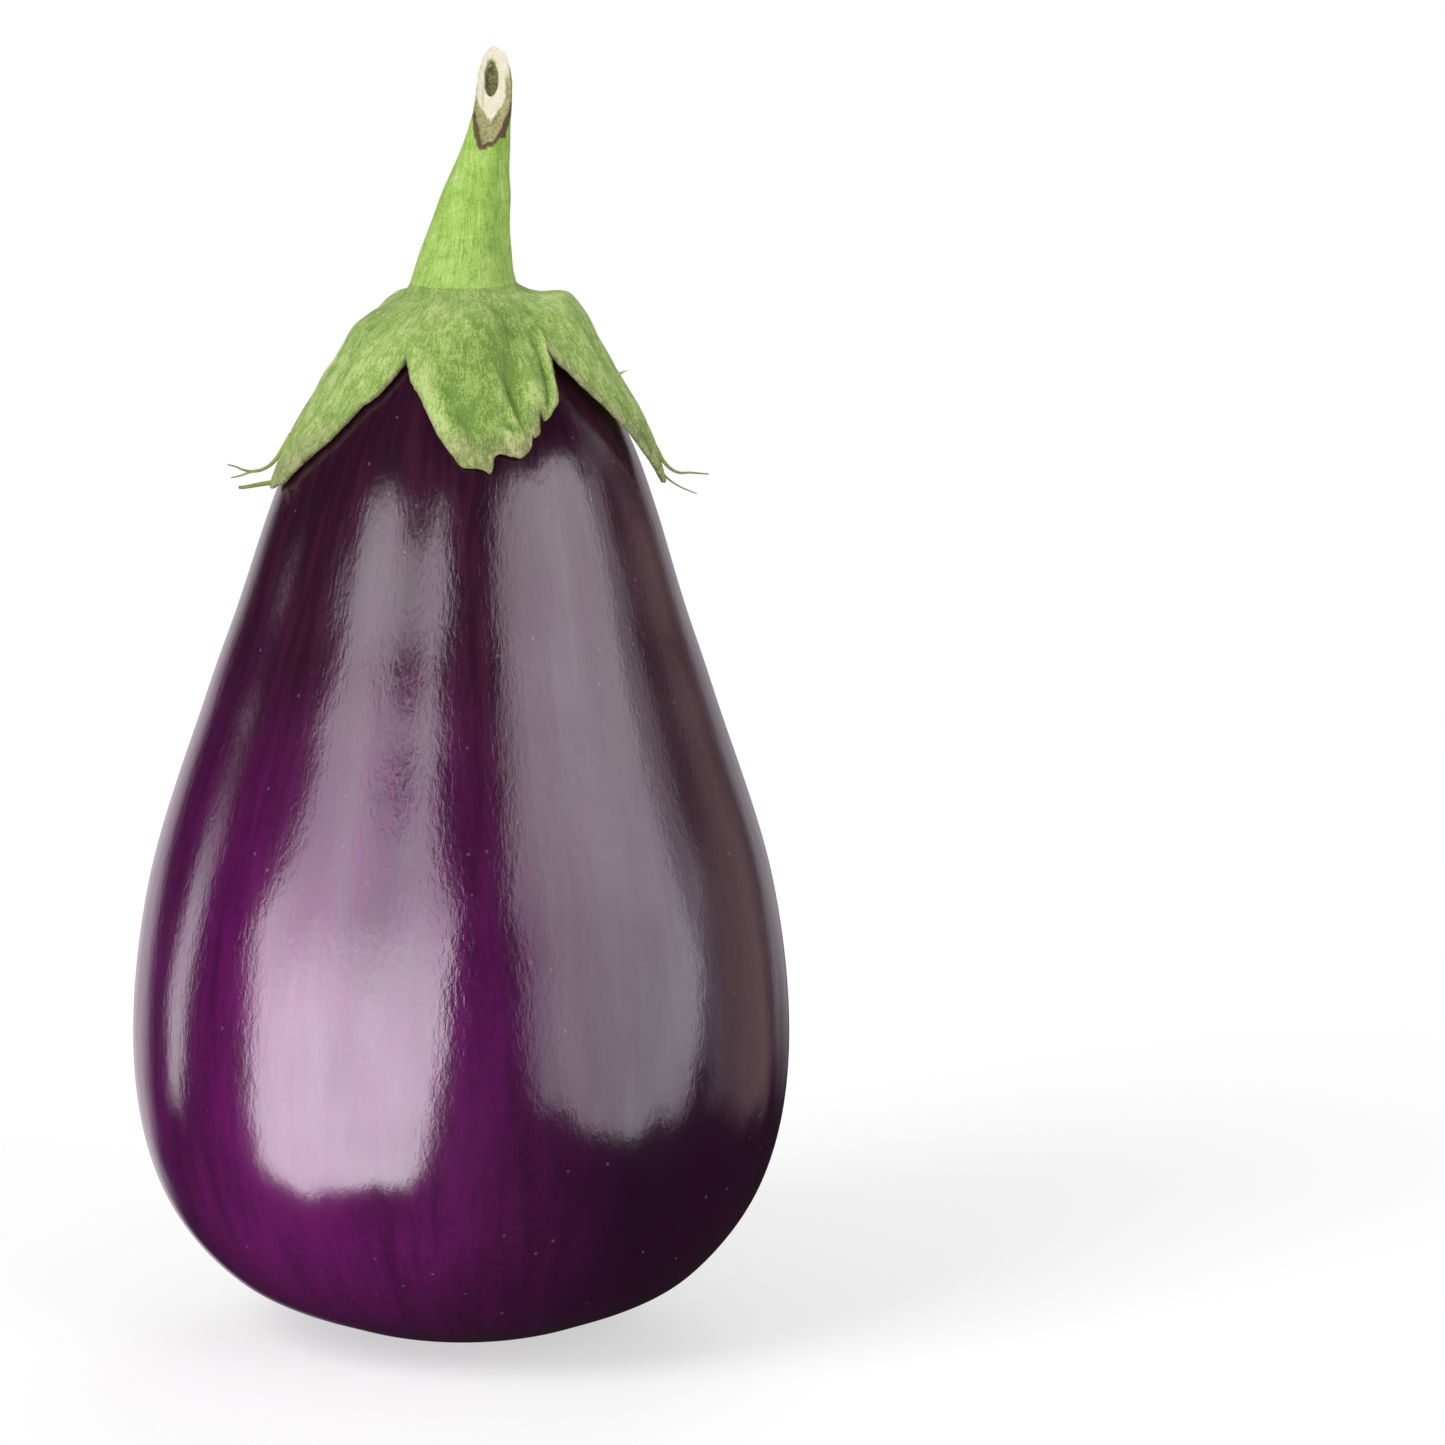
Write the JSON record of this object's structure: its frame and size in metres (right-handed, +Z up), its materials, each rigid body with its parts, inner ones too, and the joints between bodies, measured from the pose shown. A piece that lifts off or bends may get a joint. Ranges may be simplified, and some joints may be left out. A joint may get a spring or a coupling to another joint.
{
  "type": "eggplant",
  "caption": "Glossy dark purple globe eggplant standing on its blossom end, with a green lobed calyx and a leaning stem cut on a slant.",
  "frame": {"origin": "middle of the flat spot at the blossom end, on the surface that the fruit stands on", "axes": "+Z up from the flat spot towards the stem, +X to the side that the stem leans to, -Y towards the side that the cut face looks to"},
  "size_m": [0.0995, 0.0988, 0.1954],
  "materials": {
    "purple_skin": "gloss",
    "green_calyx": "matte",
    "green_stem": "matte"
  },
  "bodies": {
    "root": {"fruit": "purple_skin", "calyx": "green_calyx", "stem": "green_stem"}
  },
  "joints": []
}
